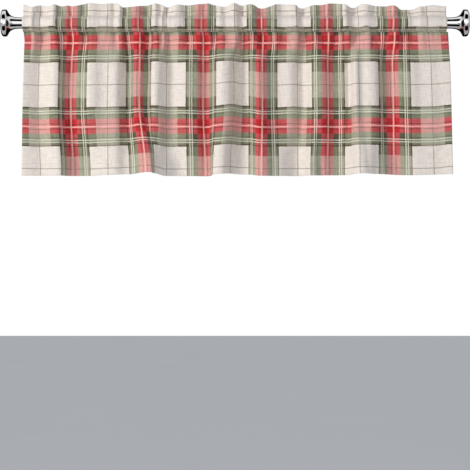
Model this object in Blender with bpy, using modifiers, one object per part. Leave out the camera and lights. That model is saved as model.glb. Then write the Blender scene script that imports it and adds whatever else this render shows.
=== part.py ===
"""Window valance with a rod pocket, gathered on its curtain rod. Metres, +Z up.

The origin is on the rod's axis at the middle of its length. +X runs along the rod to the
right, +Y goes towards the wall, and the room sees the cloth from -Y. The cloth is one
sheet with a turned-up hem, a gathered drop, a pocket round the rod and a ruffled heading,
which is turned over and comes down behind the rod to the pocket's lower seam.
"""

import math
from typing import NamedTuple

import bmesh
import bpy
import numpy as np

# Driving dimensions.
PANEL_WIDTH = 1.372
SHEET_THICKNESS = 0.0012
LAYER_SPACING = 0.0028  # between the middles of two layers that are sewn together
HEM_LEVEL = -0.3838
HEM_DEPTH = 0.030
SEAM_LEVEL = -0.0225  # the pocket's lower stitching
STITCH_LEVEL = 0.0180  # the pocket's upper stitching
POCKET_REACH = 0.0178  # from the rod's axis to the middle of the cloth, where it is closest
POCKET_EASE = 0.6  # share of the gathers' depth that is left at the rod's height
POCKET_FULLNESS = 0.75  # under 1, the pocket leaves its stitching more steeply than a circle
SEAM_TAIL = 0.004  # the back layer reaches this far below the seam

ROD_DIAMETER = 0.028
ROD_WALL = 0.0010
ROD_LENGTH = 1.050
OVERALL_LENGTH = 1.176
FIT_GAP = 0.0003
SPIGOT_LENGTH = 0.030
SPIGOT_CHAMFER = 0.0015
ROUND_STEPS = 32

MM = 0.001
PANEL_COLUMNS = 96
HEADING_SHARE = 0.85  # of the finest ruffles' lean, which is all that the facets can follow
GRID_STEP = 0.002  # spacing of the points at which the folds are added up


class Lean(NamedTuple):
    """How far the cloth leans from the rod's direction, at a place across the flat cloth.

    Across is in mm and the lean in degrees. A positive lean comes forward to the right.
    """

    across: float
    degrees: float


# The folds in the ruffled heading, a third of the way down the drop, and at the hem.
HEADING_FOLDS = [
    Lean(0, 0), Lean(10, 12), Lean(22, 42), Lean(36, -48), Lean(50, -34), Lean(62, 46),
    Lean(78, 38), Lean(92, 30), Lean(106, -64), Lean(120, -30), Lean(132, 36), Lean(147, -44),
    Lean(162, 38), Lean(176, -26), Lean(190, -44), Lean(204, 54), Lean(218, -6),
    Lean(233, -14), Lean(250, 6), Lean(264, 18), Lean(276, -40), Lean(288, 57),
    Lean(302, 60), Lean(314, -72), Lean(328, 38), Lean(344, 34), Lean(358, 24),
    Lean(371, -50), Lean(385, -36), Lean(399, 54), Lean(413, 50), Lean(428, 56),
    Lean(441, -58), Lean(454, 58), Lean(467, -72), Lean(482, 34), Lean(497, 24),
    Lean(511, -14), Lean(525, -44), Lean(539, 34), Lean(553, 40), Lean(567, 10),
    Lean(581, -30), Lean(595, 42), Lean(609, -66), Lean(623, 56), Lean(637, 40),
    Lean(651, -28), Lean(665, 20), Lean(679, 34), Lean(693, -50), Lean(707, -74),
    Lean(721, 66), Lean(736, 50), Lean(749, 54), Lean(763, -20), Lean(777, -56),
    Lean(791, 36), Lean(805, 44), Lean(819, 22), Lean(833, 46), Lean(847, -28),
    Lean(861, 14), Lean(875, 24), Lean(889, 10), Lean(903, -66), Lean(917, -50),
    Lean(931, 62), Lean(945, 30), Lean(957, 42), Lean(973, -44), Lean(987, 0),
    Lean(1001, 26), Lean(1015, -44), Lean(1029, 40), Lean(1043, 36), Lean(1057, 44),
    Lean(1071, -60), Lean(1085, -52), Lean(1099, 20), Lean(1113, 38), Lean(1127, 12),
    Lean(1141, -28), Lean(1155, -30), Lean(1169, 46), Lean(1183, -30), Lean(1197, 46),
    Lean(1211, 30), Lean(1225, -46), Lean(1239, -56), Lean(1253, 50), Lean(1267, -28),
    Lean(1281, 10), Lean(1295, 30), Lean(1309, -24), Lean(1323, 8), Lean(1340, 0),
    Lean(1372, -2),
]
DROP_FOLDS = [
    Lean(0, -34), Lean(20, -44), Lean(48, -48), Lean(63, 16), Lean(88, 18), Lean(104, -26),
    Lean(117, -64), Lean(137, -62), Lean(156, 20), Lean(170, 36), Lean(190, 22),
    Lean(206, 40), Lean(222, 0), Lean(236, -20), Lean(262, 12), Lean(276, 14),
    Lean(296, -42), Lean(316, -54), Lean(332, 50), Lean(352, 62), Lean(368, -20),
    Lean(382, -76), Lean(402, 52), Lean(414, 66), Lean(426, 50), Lean(438, -10),
    Lean(456, -60), Lean(472, -55), Lean(486, 20), Lean(505, 32), Lean(528, 18),
    Lean(543, -15), Lean(554, -8), Lean(570, -52), Lean(584, -15), Lean(598, 42),
    Lean(612, 64), Lean(626, 50), Lean(640, 34), Lean(656, -8), Lean(680, -56),
    Lean(694, -58), Lean(708, -44), Lean(722, 40), Lean(738, 54), Lean(764, 60),
    Lean(790, -30), Lean(808, -56), Lean(834, -10), Lean(862, 14), Lean(888, -34),
    Lean(902, -52), Lean(918, 35), Lean(936, 66), Lean(956, 48), Lean(974, 24),
    Lean(990, -30), Lean(1004, -44), Lean(1018, -25), Lean(1034, 28), Lean(1045, 36),
    Lean(1056, -44), Lean(1073, 72), Lean(1090, 66), Lean(1106, -40), Lean(1128, 24),
    Lean(1142, 0), Lean(1162, -48), Lean(1184, -52), Lean(1202, 10), Lean(1214, 38),
    Lean(1240, 22), Lean(1262, 6), Lean(1278, -6), Lean(1296, 16), Lean(1312, 24),
    Lean(1326, 10), Lean(1350, 24), Lean(1372, 22),
]
HEM_FOLDS = [
    Lean(0, -16), Lean(20, -26), Lean(46, -30), Lean(64, 8), Lean(95, 6), Lean(117, -68),
    Lean(137, -70), Lean(156, -15), Lean(176, 28), Lean(190, 12), Lean(206, 32),
    Lean(222, 36), Lean(240, 40), Lean(258, 28), Lean(276, 20), Lean(298, -20),
    Lean(316, 5), Lean(332, 34), Lean(350, 28), Lean(368, 34), Lean(380, 10), Lean(391, -84),
    Lean(408, -84), Lean(422, -68), Lean(440, -60), Lean(460, -56), Lean(480, -34),
    Lean(498, -8), Lean(514, 16), Lean(536, 20), Lean(556, -20), Lean(574, -20),
    Lean(586, 10), Lean(597, 74), Lean(610, 84), Lean(624, 78), Lean(638, 52),
    Lean(652, 22), Lean(668, -30), Lean(684, -52), Lean(702, -42), Lean(718, 4),
    Lean(738, 32), Lean(756, 60), Lean(776, 56), Lean(790, 16), Lean(804, -26),
    Lean(820, -36), Lean(836, 14), Lean(848, -28), Lean(862, -38), Lean(880, -34),
    Lean(894, -8), Lean(906, 50), Lean(920, 62), Lean(936, 70), Lean(954, 46),
    Lean(968, -26), Lean(978, -38), Lean(990, 24), Lean(1004, -38), Lean(1016, -15),
    Lean(1032, 14), Lean(1046, 36), Lean(1062, 46), Lean(1080, 60), Lean(1100, 50),
    Lean(1114, -8), Lean(1130, -30), Lean(1150, -40), Lean(1168, -22), Lean(1186, -46),
    Lean(1208, -26), Lean(1222, -2), Lean(1240, 20), Lean(1256, 28), Lean(1272, 10),
    Lean(1310, 12), Lean(1326, 14), Lean(1346, 30), Lean(1372, 32),
]

# The drop's folds hold between these heights, and the cloth passes evenly from one to the next.
DROP_TOP_LEVEL = -0.110
DROP_LOW_LEVEL = -0.200

# The rod keeps the gathers in line, so a wander slower than this is taken out of the depth.
HEADING_WANDER = 0.160
DROP_WANDER = 0.330
HEM_WANDER = 0.400


class Sides(NamedTuple):
    """Where the cloth's two side edges hang at a height, in mm from the origin."""

    level: float
    left: float
    right: float


SIDES = [
    Sides(-384, -537.6, 549.0),
    Sides(-169, -534.6, 544.0),
    Sides(-110, -532.5, 542.0),
    Sides(-43, -529.8, 537.5),
    Sides(-18, -532.0, 536.0),
    Sides(19, -533.0, 531.0),
    Sides(46, -534.8, 532.5),
]


class Edge(NamedTuple):
    """Height of the cloth's edge at a place across it, both in mm."""

    across: float
    height: float


HEADING_EDGE = [
    Edge(0, 46), Edge(25, 39), Edge(51, 45), Edge(80, 41), Edge(103, 46), Edge(131, 42),
    Edge(147, 44), Edge(161, 42), Edge(210, 50), Edge(245, 48), Edge(285, 50), Edge(322, 40),
    Edge(348, 40), Edge(400, 45), Edge(440, 48), Edge(479, 40), Edge(509, 46), Edge(548, 45),
    Edge(600, 49), Edge(655, 40), Edge(685, 49), Edge(729, 45), Edge(757, 46), Edge(794, 37),
    Edge(850, 47), Edge(890, 45), Edge(923, 38), Edge(980, 45), Edge(1022, 50), Edge(1052, 47),
    Edge(1095, 39), Edge(1123, 47), Edge(1180, 42), Edge(1215, 43), Edge(1255, 33),
    Edge(1275, 33), Edge(1302, 41), Edge(1335, 45), Edge(1372, 42),
]

HEM_RISE = [
    Edge(0, 0), Edge(210, 0), Edge(265, 1.5), Edge(320, 3.5), Edge(369, 8), Edge(419, 6),
    Edge(475, 0), Edge(580, -1), Edge(630, 3), Edge(686, 5), Edge(742, 3), Edge(792, -1),
    Edge(950, 0), Edge(1052, 1.5), Edge(1108, 5), Edge(1164, 4), Edge(1263, 1.5), Edge(1372, 4),
]


class Turn(NamedTuple):
    """A point of the finial's outline: distance in from its outer face, and radius, in mm."""

    inward: float
    radius: float


FINIAL_OUTLINE = [
    Turn(0.0, 24.0), Turn(0.8, 28.5), Turn(2.4, 32.0), Turn(4.8, 33.7), Turn(8.4, 34.0),
    Turn(12.4, 33.8), Turn(14.4, 32.4), Turn(16.6, 28.2), Turn(19.4, 23.6), Turn(22.8, 20.0),
    Turn(27.0, 17.4), Turn(32.0, 15.6), Turn(38.0, 14.5), Turn(45.0, 14.0),
]


def clear_scene():
    for thing in list(bpy.data.objects):
        bpy.data.objects.remove(thing, do_unlink=True)


def material(name, colour, roughness, metallic=0.0):
    made = bpy.data.materials.new(name)
    made.use_nodes = True
    shader = made.node_tree.nodes["Principled BSDF"]
    shader.inputs["Base Color"].default_value = (*colour, 1.0)
    shader.inputs["Roughness"].default_value = roughness
    shader.inputs["Metallic"].default_value = metallic
    made.diffuse_color = (*colour, 1.0)
    return made


def add_object(name, mesh, finish, collection):
    mesh.materials.append(finish)
    made = bpy.data.objects.new(name, mesh)
    collection.objects.link(made)
    return made


def eased(rows, heights, at):
    """Values given at rows across the cloth, carried smoothly from each row to the next."""
    rows, heights = np.asarray(rows, float), np.asarray(heights, float)
    before = np.clip(np.searchsorted(rows, at, side="right") - 1, 0, len(rows) - 2)
    share = np.clip((at - rows[before]) / (rows[before + 1] - rows[before]), 0.0, 1.0)
    share = share * share * (3.0 - 2.0 * share)
    return heights[before] * (1.0 - share) + heights[before + 1] * share


def edge_height(table, across):
    return eased([row.across * MM for row in table], [row.height * MM for row in table], across)


def shares_at(level):
    """How much of the heading's, the drop's and the hem's folds the cloth has at a height."""
    if level >= DROP_TOP_LEVEL:
        rise = min((level - DROP_TOP_LEVEL) / (SEAM_LEVEL - DROP_TOP_LEVEL), 1.0)
        rise = rise * rise * (3.0 - 2.0 * rise)
        return rise, 1.0 - rise, 0.0
    fall = min(max((DROP_LOW_LEVEL - level) / (DROP_LOW_LEVEL - HEM_LEVEL), 0.0), 1.0)
    fall = fall * fall * (3.0 - 2.0 * fall)
    return 0.0, 1.0 - fall, fall


def without_wander(depth, wander):
    """The depth of the folds with their slow wander to front and back taken out."""
    reach = int(wander / GRID_STEP / 2)
    before = 2.0 * depth[0] - depth[reach:0:-1]
    after = 2.0 * depth[-1] - depth[-2 : -reach - 2 : -1]
    window = np.hanning(2 * reach + 3)[1:-1]
    slow = np.convolve(np.concatenate([before, depth, after]), window / window.sum(), "valid")
    return depth - slow


def added_up(grid, folds, wander):
    """Adds up the cloth's lean along its flat width, because cloth doesn't stretch.

    It gives how far along each place is, from 0 to 1, and its depth.
    """
    places = [fold.across * MM for fold in folds]
    lean = np.radians(eased(places, [fold.degrees for fold in folds], grid))
    middle = (lean[1:] + lean[:-1]) / 2.0
    along = np.concatenate([[0.0], np.cumsum(np.cos(middle))])
    depth = np.concatenate([[0.0], -np.cumsum(np.sin(middle)) * (grid[1] - grid[0])])
    return along / along[-1], without_wander(depth, wander)


def folded_line(level, across):
    """Where the places across the cloth hang at a height: x, y and the lean in radians."""
    count = int(round(PANEL_WIDTH / GRID_STEP)) + 1
    grid = np.linspace(0.0, PANEL_WIDTH, count)
    along, depth = np.zeros(count), np.zeros(count)
    softer_heading = [Lean(fold.across, fold.degrees * HEADING_SHARE) for fold in HEADING_FOLDS]
    columns = (
        (softer_heading, HEADING_WANDER),
        (DROP_FOLDS, DROP_WANDER),
        (HEM_FOLDS, HEM_WANDER),
    )
    for share, (folds, wander) in zip(shares_at(level), columns):
        run, sway = added_up(grid, folds, wander)
        along, depth = along + share * run, depth + share * sway
    levels = [row.level * MM for row in SIDES]
    left = np.interp(level, levels, [row.left * MM for row in SIDES])
    right = np.interp(level, levels, [row.right * MM for row in SIDES])
    along = left + (right - left) * along
    lean = -np.arctan2(np.gradient(depth), np.gradient(along))
    return tuple(np.interp(across, grid, values) for values in (along, depth, lean))


def layer(level, heights, across, behind=0.0):
    """One line of points across the cloth, set back from its face by the given distance."""
    x, y, lean = folded_line(level, across)
    return np.column_stack([x + behind * np.sin(lean), y + behind * np.cos(lean), heights])


def round_the_rod(start, side, angle):
    """The pocket's cloth, part of the way from the upper stitching to the lower seam."""
    ruffle = start[:, 1]
    slack = ruffle.min() if side > 0 else ruffle.max()
    nearest = side * POCKET_REACH + POCKET_EASE * (ruffle - slack)
    bulge = math.sin(angle) ** POCKET_FULLNESS
    middle = (STITCH_LEVEL + SEAM_LEVEL) / 2.0
    half = (STITCH_LEVEL - SEAM_LEVEL) / 2.0
    line = start.copy()
    line[:, 1] = ruffle + (nearest - ruffle) * bulge
    line[:, 2] = middle + half * math.cos(angle)
    return line


def panel_lines(across):
    """The cloth's lines from the hem's inner edge, up the front, over the top and down behind."""
    hem = HEM_LEVEL + edge_height(HEM_RISE, across)
    top = edge_height(HEADING_EDGE, across)
    even = np.ones_like(across)
    hem_top = HEM_LEVEL + HEM_DEPTH
    lines = [
        layer(hem_top, hem + HEM_DEPTH, across, LAYER_SPACING),
        layer(HEM_LEVEL, hem, across, LAYER_SPACING),
        layer(HEM_LEVEL, hem, across),
        layer(hem_top, hem + HEM_DEPTH, across),
    ]
    for level in (-0.292, -0.200, -0.110, -0.080, -0.052, -0.035):
        share = (SEAM_LEVEL - level) / (SEAM_LEVEL - HEM_LEVEL)
        lines.append(layer(level, SEAM_LEVEL + share * (hem - SEAM_LEVEL), across))
    front = layer(STITCH_LEVEL, STITCH_LEVEL * even, across)
    back = layer(STITCH_LEVEL, STITCH_LEVEL * even, across, LAYER_SPACING)
    turns = [math.radians(angle) for angle in (22, 48, 90, 135)]
    lines.append(layer(SEAM_LEVEL, SEAM_LEVEL * even, across))
    lines += [round_the_rod(front, -1, angle) for angle in reversed(turns)]
    lines.append(front)
    lines.append(layer(STITCH_LEVEL, top, across))
    lines.append(layer(STITCH_LEVEL, top, across, LAYER_SPACING))
    lines.append(back)
    lines += [round_the_rod(back, 1, angle) for angle in turns]
    lines.append(layer(SEAM_LEVEL, SEAM_LEVEL * even, across, LAYER_SPACING))
    lines.append(layer(SEAM_LEVEL, (SEAM_LEVEL - SEAM_TAIL) * even, across, LAYER_SPACING))
    return lines


def build_panel(finish, collection):
    """The cloth as a loft through its lines, given its thickness by Solidify."""
    across = np.linspace(0.0, PANEL_WIDTH, PANEL_COLUMNS + 1)
    shape = bmesh.new()
    grid = [[shape.verts.new(point) for point in line] for line in panel_lines(across)]
    for lower, upper in zip(grid, grid[1:]):
        for i in range(len(across) - 1):
            shape.faces.new((lower[i], lower[i + 1], upper[i + 1], upper[i]))
    mesh = bpy.data.meshes.new("valance_panel")
    shape.to_mesh(mesh)
    shape.free()
    panel = add_object("valance_panel", mesh, finish, collection)
    body = panel.modifiers.new("cloth thickness", "SOLIDIFY")
    body.thickness = SHEET_THICKNESS
    body.offset = 0.0
    return panel


def turned(name, outline, finish, collection):
    """A turned piece round its own Z axis, from (radius, height) points, top to bottom."""
    shape = bmesh.new()
    points = [shape.verts.new((radius, 0.0, height)) for radius, height in outline]
    for first, second in zip(points, points[1:]):
        shape.edges.new((first, second))
    mesh = bpy.data.meshes.new(name)
    shape.to_mesh(mesh)
    shape.free()
    piece = add_object(name, mesh, finish, collection)
    lathe = piece.modifiers.new("lathe", "SCREW")
    lathe.steps = ROUND_STEPS
    lathe.render_steps = ROUND_STEPS
    lathe.use_merge_vertices = True
    lathe.merge_threshold = 0.00001
    lathe.use_smooth_shade = True
    return piece


def build_rod(finish, collection):
    outer = ROD_DIAMETER / 2.0
    inner = outer - ROD_WALL
    half = ROD_LENGTH / 2.0
    outline = [(inner, half), (outer, half), (outer, -half), (inner, -half), (inner, half)]
    rod = turned("curtain_rod", outline, finish, collection)
    rod.rotation_euler = (0.0, math.pi / 2.0, 0.0)
    return rod


def build_finial(name, side, finish, collection):
    """A trumpet-shaped finial, its outer face up and its spigot down, laid over to one side."""
    shoulder = (OVERALL_LENGTH - ROD_LENGTH) / 2.0 - FIT_GAP
    spigot = ROD_DIAMETER / 2.0 - ROD_WALL - FIT_GAP
    end = shoulder + SPIGOT_LENGTH
    outline = [(0.0, 0.0)]
    outline += [(turn.radius * MM, -turn.inward * MM) for turn in FINIAL_OUTLINE]
    outline += [
        (ROD_DIAMETER / 2.0, -shoulder),
        (spigot, -shoulder),
        (spigot, -(end - SPIGOT_CHAMFER)),
        (spigot - SPIGOT_CHAMFER, -end),
        (0.0, -end),
    ]
    finial = turned(name, outline, finish, collection)
    finial.location = (side * OVERALL_LENGTH / 2.0, 0.0, 0.0)
    finial.rotation_euler = (0.0, side * math.pi / 2.0, 0.0)
    return finial


def main():
    clear_scene()
    parts = bpy.data.collections.new("window valance")
    bpy.context.scene.collection.children.link(parts)
    cloth = material("plaid cotton blend", (0.70, 0.66, 0.60), 0.85)
    chrome = material("bright chrome", (0.78, 0.78, 0.80), 0.12, 1.0)
    build_panel(cloth, parts)
    build_rod(chrome, parts)
    build_finial("finial_left", -1, chrome, parts)
    build_finial("finial_right", 1, chrome, parts)


main()
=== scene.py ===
"""Window valance of printed plaid cloth, gathered on a chrome curtain rod.

Metres, +Z up. The origin is on the rod's axis at the middle of its length, +X runs along
the rod to the right, and the room sees the cloth from -Y. The cloth is one sheet: a hem
turned up behind, a gathered drop, a pocket round the rod and a ruffled heading that is
turned over and comes down behind the rod to the pocket's lower seam.
"""

import logging
import math
from dataclasses import dataclass
from enum import Enum
from typing import Callable, Iterator, NamedTuple, Sequence

import bmesh
import bpy
import numpy as np
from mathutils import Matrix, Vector


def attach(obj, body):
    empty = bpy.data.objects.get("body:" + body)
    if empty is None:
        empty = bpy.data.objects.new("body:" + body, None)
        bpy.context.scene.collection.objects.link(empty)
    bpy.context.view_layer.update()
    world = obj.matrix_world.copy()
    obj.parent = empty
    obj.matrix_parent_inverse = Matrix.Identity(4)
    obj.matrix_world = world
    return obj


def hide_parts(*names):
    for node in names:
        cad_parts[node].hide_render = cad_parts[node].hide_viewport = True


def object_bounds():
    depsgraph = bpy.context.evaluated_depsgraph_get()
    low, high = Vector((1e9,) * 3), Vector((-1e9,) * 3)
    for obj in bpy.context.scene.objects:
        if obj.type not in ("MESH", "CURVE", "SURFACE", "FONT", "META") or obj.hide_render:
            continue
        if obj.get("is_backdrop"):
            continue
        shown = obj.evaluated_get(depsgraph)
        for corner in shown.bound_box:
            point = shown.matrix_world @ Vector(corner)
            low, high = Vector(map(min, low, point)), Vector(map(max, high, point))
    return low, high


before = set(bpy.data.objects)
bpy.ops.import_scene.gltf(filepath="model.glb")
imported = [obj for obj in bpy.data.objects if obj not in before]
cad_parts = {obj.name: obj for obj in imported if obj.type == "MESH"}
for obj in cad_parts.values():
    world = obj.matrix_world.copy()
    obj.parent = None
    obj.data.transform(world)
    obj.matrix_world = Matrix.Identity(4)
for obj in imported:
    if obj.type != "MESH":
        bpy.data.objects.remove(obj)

LOG = logging.getLogger("valance")
BODY = "root"
MM = 0.001
# Heights that differ by less than this, in metres, are the same height.
TOUCH = 0.00001


# ---------------------------------------------------------------- nodes and small tools


def linear(hex_colour: str, alpha: float = 1.0) -> tuple[float, float, float, float]:
    """Turns an sRGB hex colour into linear light.

    Args:
        hex_colour: The colour as six hex digits.
        alpha: The fourth channel.

    Returns:
        Red, green, blue and alpha.
    """
    parts = [int(hex_colour[i : i + 2], 16) / 255 for i in (0, 2, 4)]
    light = [c / 12.92 if c <= 0.04045 else ((c + 0.055) / 1.055) ** 2.4 for c in parts]
    return light[0], light[1], light[2], alpha


def add_node(
    tree: bpy.types.NodeTree, kind: str, inputs: dict | None = None, **settings: object
) -> bpy.types.Node:
    """Adds a node with its settings, values and links.

    Args:
        tree: The node tree that gets it.
        kind: The node's type name.
        inputs: A value, a node's output, or a node whose first output is meant, for each
            socket by name or number.
        **settings: The node's own properties.

    Returns:
        The new node.
    """
    made = tree.nodes.new(kind)
    for name, value in settings.items():
        setattr(made, name, value)
    for key, value in (inputs or {}).items():
        if isinstance(value, bpy.types.Node):
            value = value.outputs[0]
        if isinstance(value, bpy.types.NodeSocket):
            tree.links.new(value, made.inputs[key])
        else:
            made.inputs[key].default_value = value
    return made


def new_material(name: str) -> tuple[bpy.types.Material, bpy.types.NodeTree, bpy.types.Node]:
    """Makes a material that holds only a Principled shader and its output.

    Args:
        name: The material's name.

    Returns:
        The material, its node tree and its shader.
    """
    made = bpy.data.materials.new(name)
    made.use_nodes = True
    tree = made.node_tree
    tree.nodes.clear()
    shader = add_node(tree, "ShaderNodeBsdfPrincipled")
    add_node(tree, "ShaderNodeOutputMaterial", {"Surface": shader.outputs["BSDF"]})
    return made, tree, shader


def deselect_all() -> None:
    """Leaves object mode with nothing selected."""
    if bpy.context.mode != "OBJECT":
        bpy.ops.object.mode_set(mode="OBJECT")
    bpy.ops.object.select_all(action="DESELECT")


def select_only(piece: bpy.types.Object) -> None:
    """Makes a piece the only selected and the active one."""
    deselect_all()
    piece.select_set(True)
    bpy.context.view_layer.objects.active = piece


def apply_modifiers(piece: bpy.types.Object) -> None:
    """Applies all the modifiers of a piece, in order."""
    select_only(piece)
    for modifier in list(piece.modifiers):
        bpy.ops.object.modifier_apply(modifier=modifier.name)


def piece_from(
    shape: bmesh.types.BMesh, name: str, finishes: Sequence[bpy.types.Material]
) -> bpy.types.Object:
    """Turns a mesh made in code into a piece, smooth-shaded.

    Args:
        shape: The mesh, which is used up.
        name: The piece's name, which its mesh gets too.
        finishes: Its materials.

    Returns:
        The piece.
    """
    for face in shape.faces:
        face.smooth = True
    mesh = bpy.data.meshes.new(name)
    shape.to_mesh(mesh)
    shape.free()
    for finish in finishes:
        mesh.materials.append(finish)
    piece = bpy.data.objects.new(name, mesh)
    bpy.context.scene.collection.objects.link(piece)
    return piece


def settle(piece: bpy.types.Object, name: str) -> bpy.types.Object:
    """Names a piece and moves its place, turn and scale into its mesh.

    Args:
        piece: The finished piece.
        name: Its name, which its mesh gets too.

    Returns:
        The same piece.
    """
    select_only(piece)
    bpy.ops.object.transform_apply(location=True, rotation=True, scale=True)
    piece.name = name
    piece.data.name = name
    return piece


# ---------------------------------------------------------------- the cloth's own tables


class Lean(NamedTuple):
    """How far the cloth leans from the rod's direction, at a place across the flat cloth.

    Across is in mm and the lean in degrees. A positive lean comes forward to the right.
    """

    across: float
    degrees: float


# The folds in the ruffled heading, a third of the way down the drop, and at the hem.
HEADING_FOLDS = [
    Lean(0, 0), Lean(10, 12), Lean(22, 42), Lean(36, -48), Lean(50, -34), Lean(62, 46),
    Lean(78, 38), Lean(92, 30), Lean(106, -64), Lean(120, -30), Lean(132, 36), Lean(147, -44),
    Lean(162, 38), Lean(176, -26), Lean(190, -44), Lean(204, 54), Lean(218, -6),
    Lean(233, -14), Lean(250, 6), Lean(264, 18), Lean(276, -40), Lean(288, 57),
    Lean(302, 60), Lean(314, -72), Lean(328, 38), Lean(344, 34), Lean(358, 24),
    Lean(371, -50), Lean(385, -36), Lean(399, 54), Lean(413, 50), Lean(428, 56),
    Lean(441, -58), Lean(454, 58), Lean(467, -72), Lean(482, 34), Lean(497, 24),
    Lean(511, -14), Lean(525, -44), Lean(539, 34), Lean(553, 40), Lean(567, 10),
    Lean(581, -30), Lean(595, 42), Lean(609, -66), Lean(623, 56), Lean(637, 40),
    Lean(651, -28), Lean(665, 20), Lean(679, 34), Lean(693, -50), Lean(707, -74),
    Lean(721, 66), Lean(736, 50), Lean(749, 54), Lean(763, -20), Lean(777, -56),
    Lean(791, 36), Lean(805, 44), Lean(819, 22), Lean(833, 46), Lean(847, -28),
    Lean(861, 14), Lean(875, 24), Lean(889, 10), Lean(903, -66), Lean(917, -50),
    Lean(931, 62), Lean(945, 30), Lean(957, 42), Lean(973, -44), Lean(987, 0),
    Lean(1001, 26), Lean(1015, -44), Lean(1029, 40), Lean(1043, 36), Lean(1057, 44),
    Lean(1071, -60), Lean(1085, -52), Lean(1099, 20), Lean(1113, 38), Lean(1127, 12),
    Lean(1141, -28), Lean(1155, -30), Lean(1169, 46), Lean(1183, -30), Lean(1197, 46),
    Lean(1211, 30), Lean(1225, -46), Lean(1239, -56), Lean(1253, 50), Lean(1267, -28),
    Lean(1281, 10), Lean(1295, 30), Lean(1309, -24), Lean(1323, 8), Lean(1340, 0),
    Lean(1372, -2),
]
DROP_FOLDS = [
    Lean(0, -34), Lean(20, -44), Lean(48, -48), Lean(63, 16), Lean(88, 18), Lean(104, -26),
    Lean(117, -64), Lean(137, -62), Lean(156, 20), Lean(170, 36), Lean(190, 22),
    Lean(206, 40), Lean(222, 0), Lean(236, -20), Lean(262, 12), Lean(276, 14),
    Lean(296, -42), Lean(316, -54), Lean(332, 50), Lean(352, 62), Lean(368, -20),
    Lean(382, -76), Lean(402, 52), Lean(414, 66), Lean(426, 50), Lean(438, -10),
    Lean(456, -60), Lean(472, -55), Lean(486, 20), Lean(505, 32), Lean(528, 18),
    Lean(543, -15), Lean(554, -8), Lean(570, -52), Lean(584, -15), Lean(598, 42),
    Lean(612, 64), Lean(626, 50), Lean(640, 34), Lean(656, -8), Lean(680, -56),
    Lean(694, -58), Lean(708, -44), Lean(722, 40), Lean(738, 54), Lean(764, 60),
    Lean(790, -30), Lean(808, -56), Lean(834, -10), Lean(862, 14), Lean(888, -34),
    Lean(902, -52), Lean(918, 35), Lean(936, 66), Lean(956, 48), Lean(974, 24),
    Lean(990, -30), Lean(1004, -44), Lean(1018, -25), Lean(1034, 28), Lean(1045, 36),
    Lean(1056, -44), Lean(1073, 72), Lean(1090, 66), Lean(1106, -40), Lean(1128, 24),
    Lean(1142, 0), Lean(1162, -48), Lean(1184, -52), Lean(1202, 10), Lean(1214, 38),
    Lean(1240, 22), Lean(1262, 6), Lean(1278, -6), Lean(1296, 16), Lean(1312, 24),
    Lean(1326, 10), Lean(1350, 24), Lean(1372, 22),
]
HEM_FOLDS = [
    Lean(0, -16), Lean(20, -26), Lean(46, -30), Lean(64, 8), Lean(95, 6), Lean(117, -68),
    Lean(137, -70), Lean(156, -15), Lean(176, 28), Lean(190, 12), Lean(206, 32),
    Lean(222, 36), Lean(240, 40), Lean(258, 28), Lean(276, 20), Lean(298, -20),
    Lean(316, 5), Lean(332, 34), Lean(350, 28), Lean(368, 34), Lean(380, 10), Lean(391, -84),
    Lean(408, -84), Lean(422, -68), Lean(440, -60), Lean(460, -56), Lean(480, -34),
    Lean(498, -8), Lean(514, 16), Lean(536, 20), Lean(556, -20), Lean(574, -20),
    Lean(586, 10), Lean(597, 74), Lean(610, 84), Lean(624, 78), Lean(638, 52),
    Lean(652, 22), Lean(668, -30), Lean(684, -52), Lean(702, -42), Lean(718, 4),
    Lean(738, 32), Lean(756, 60), Lean(776, 56), Lean(790, 16), Lean(804, -26),
    Lean(820, -36), Lean(836, 14), Lean(848, -28), Lean(862, -38), Lean(880, -34),
    Lean(894, -8), Lean(906, 50), Lean(920, 62), Lean(936, 70), Lean(954, 46),
    Lean(968, -26), Lean(978, -38), Lean(990, 24), Lean(1004, -38), Lean(1016, -15),
    Lean(1032, 14), Lean(1046, 36), Lean(1062, 46), Lean(1080, 60), Lean(1100, 50),
    Lean(1114, -8), Lean(1130, -30), Lean(1150, -40), Lean(1168, -22), Lean(1186, -46),
    Lean(1208, -26), Lean(1222, -2), Lean(1240, 20), Lean(1256, 28), Lean(1272, 10),
    Lean(1310, 12), Lean(1326, 14), Lean(1346, 30), Lean(1372, 32),
]


class Sides(NamedTuple):
    """Where the cloth's two side edges hang at a height, in mm from the origin."""

    level: float
    left: float
    right: float


SIDES = [
    Sides(-384, -537.6, 549.0),
    Sides(-169, -534.6, 544.0),
    Sides(-110, -532.5, 542.0),
    Sides(-43, -529.8, 537.5),
    Sides(-18, -532.0, 536.0),
    Sides(19, -533.0, 531.0),
    Sides(46, -534.8, 532.5),
]


class Edge(NamedTuple):
    """Height of the cloth's edge at a place across it, both in mm."""

    across: float
    height: float


HEADING_EDGE = [
    Edge(0, 46), Edge(25, 39), Edge(51, 45), Edge(80, 41), Edge(103, 46), Edge(131, 42),
    Edge(147, 44), Edge(161, 42), Edge(210, 50), Edge(245, 48), Edge(285, 50), Edge(322, 40),
    Edge(348, 40), Edge(400, 45), Edge(440, 48), Edge(479, 40), Edge(509, 46), Edge(548, 45),
    Edge(600, 49), Edge(655, 40), Edge(685, 49), Edge(729, 45), Edge(757, 46), Edge(794, 37),
    Edge(850, 47), Edge(890, 45), Edge(923, 38), Edge(980, 45), Edge(1022, 50), Edge(1052, 47),
    Edge(1095, 39), Edge(1123, 47), Edge(1180, 42), Edge(1215, 43), Edge(1255, 33),
    Edge(1275, 33), Edge(1302, 41), Edge(1335, 45), Edge(1372, 42),
]

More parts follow.
